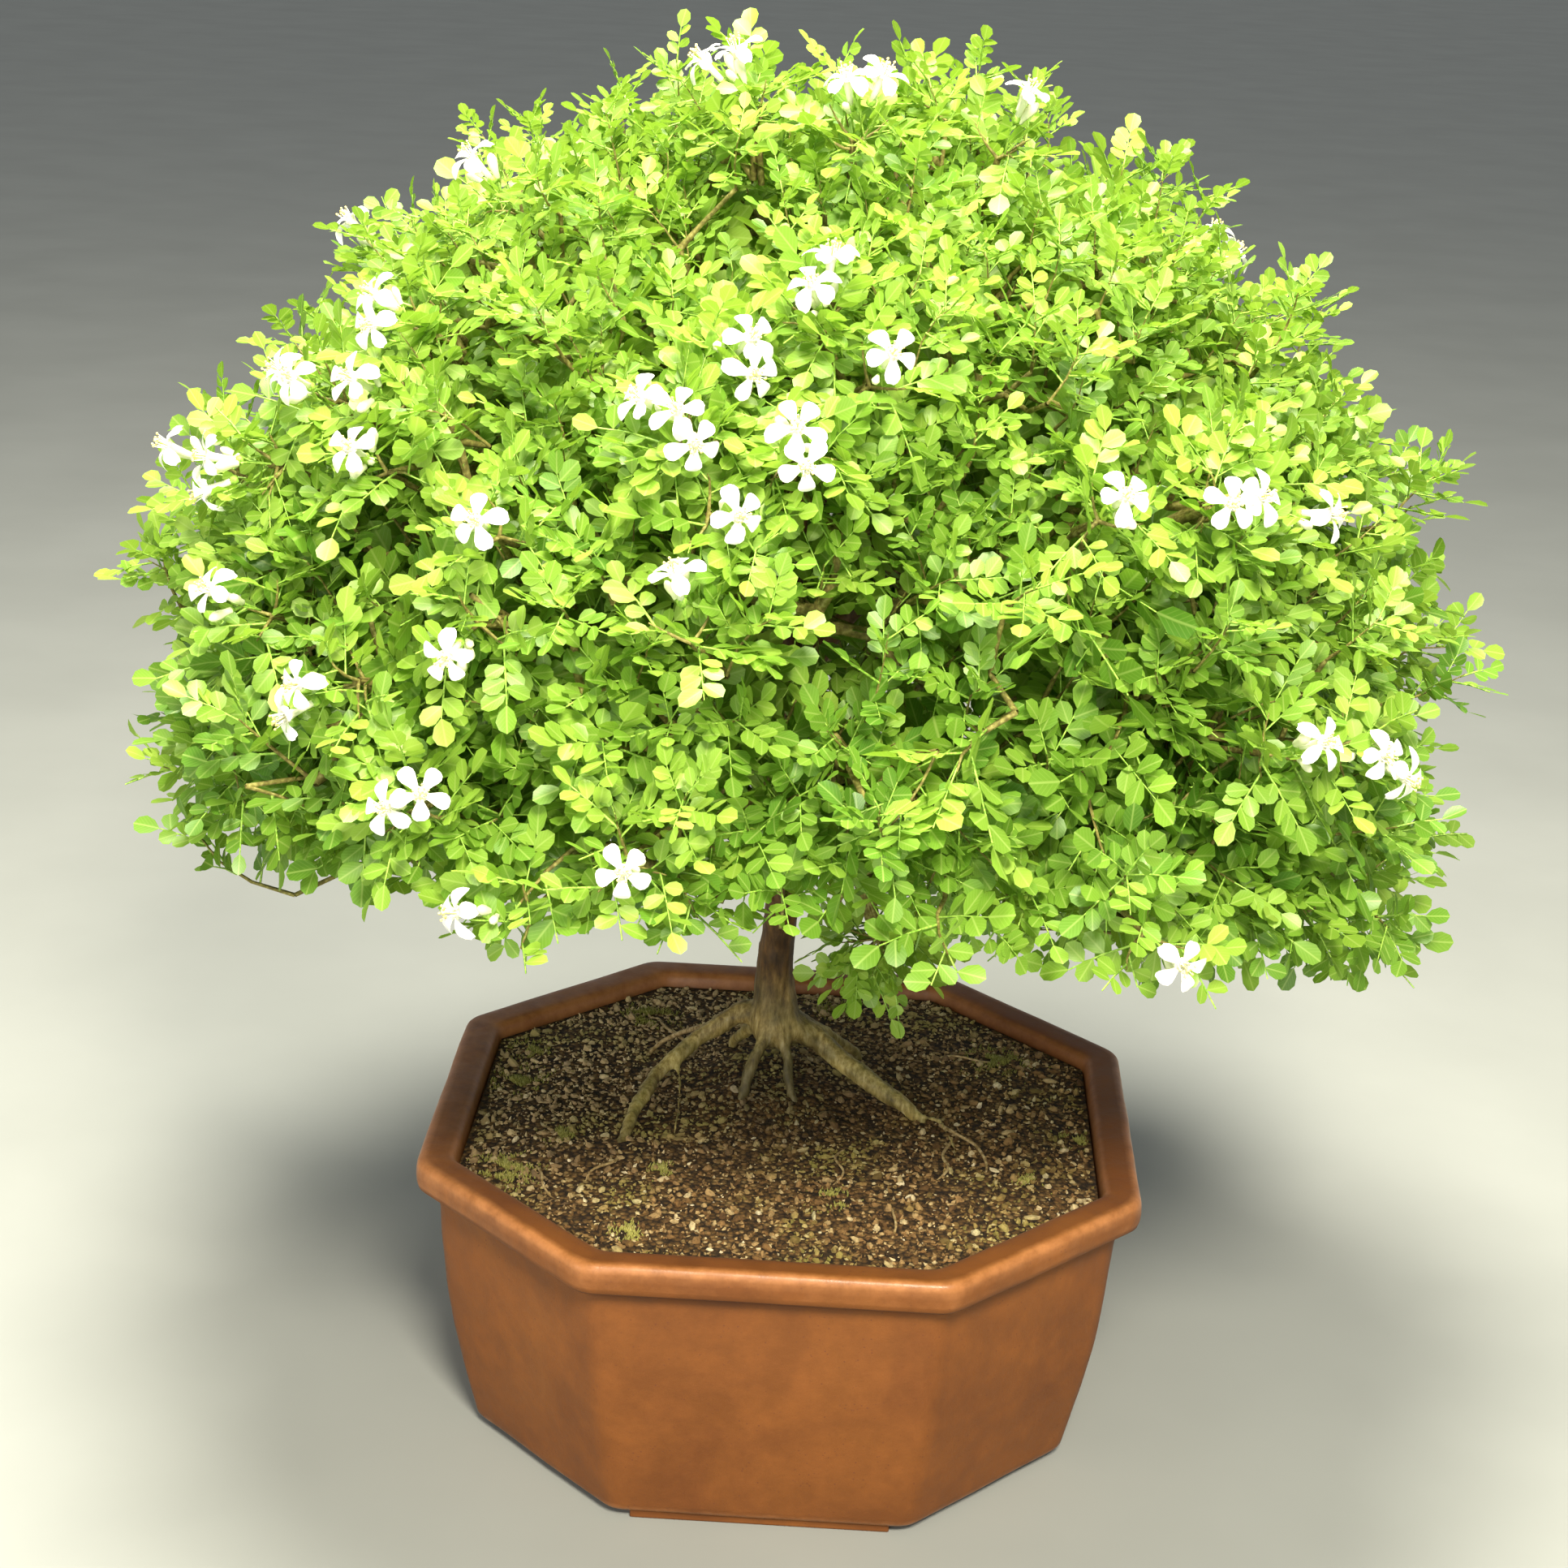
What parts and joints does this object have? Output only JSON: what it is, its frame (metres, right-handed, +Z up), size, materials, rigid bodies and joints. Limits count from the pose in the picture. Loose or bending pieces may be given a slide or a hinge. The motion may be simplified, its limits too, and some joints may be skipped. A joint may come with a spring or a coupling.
{
  "type": "orange jasmine bonsai",
  "caption": "Small flowering orange jasmine tree with a round leafy crown and exposed roots, growing in an eight-sided terracotta pot.",
  "frame": {"origin": "bottom centre of the object, midway between the soles of the pot's feet", "axes": "+Z up; -Y is the front, the side that the picture shows; +X to the right as seen from the front"},
  "size_m": [0.5879, 0.5838, 0.6091],
  "materials": {
    "terracotta": "matte",
    "potting_soil": "matte",
    "plastic_mesh": "matte",
    "bark": "matte",
    "leaf": "satin",
    "petal": "satin"
  },
  "bodies": {
    "root": {"bloom_01": "petal", "bloom_02": "petal", "bloom_03": "petal", "bloom_04": "petal", "bloom_05": "petal", "bloom_06": "petal", "bloom_07": "petal", "bloom_08": "petal", "bloom_09": "petal", "bloom_10": "petal", "bloom_11": "petal", "bloom_12": "petal", "bloom_13": "petal", "bloom_14": "petal", "bloom_15": "petal", "bloom_16": "petal", "bloom_17": "petal", "bloom_18": "petal", "bloom_19": "petal", "bloom_20": "petal", "bloom_21": "petal", "bloom_22": "petal", "bloom_23": "petal", "bloom_24": "petal", "bloom_25": "petal", "bloom_26": "petal", "bloom_27": "petal", "bloom_28": "petal", "bloom_29": "petal", "bloom_30": "petal", "bloom_31": "petal", "bloom_32": "petal", "bloom_33": "petal", "bloom_34": "petal", "bloom_35": "petal", "bloom_36": "petal", "bloom_37": "petal", "drain_mesh_left": "plastic_mesh", "drain_mesh_right": "plastic_mesh", "leafy_branch_low_1": "leaf", "leafy_branch_low_2": "leaf", "leafy_branch_low_3": "leaf", "leafy_branch_low_4": "leaf", "leafy_branch_low_5": "leaf", "leafy_branch_low_6": "leaf", "leafy_branch_low_7": "leaf", "leafy_branch_low_8": "leaf", "leafy_branch_middle_1": "leaf", "leafy_branch_middle_2": "leaf", "leafy_branch_middle_3": "leaf", "leafy_branch_middle_4": "leaf", "leafy_branch_middle_5": "leaf", "leafy_branch_middle_6": "leaf", "leafy_branch_top": "leaf", "leafy_sprig": "leaf", "pot": "terracotta", "soil": "potting_soil", "trunk_roots_and_limbs": "bark"}
  },
  "joints": []
}
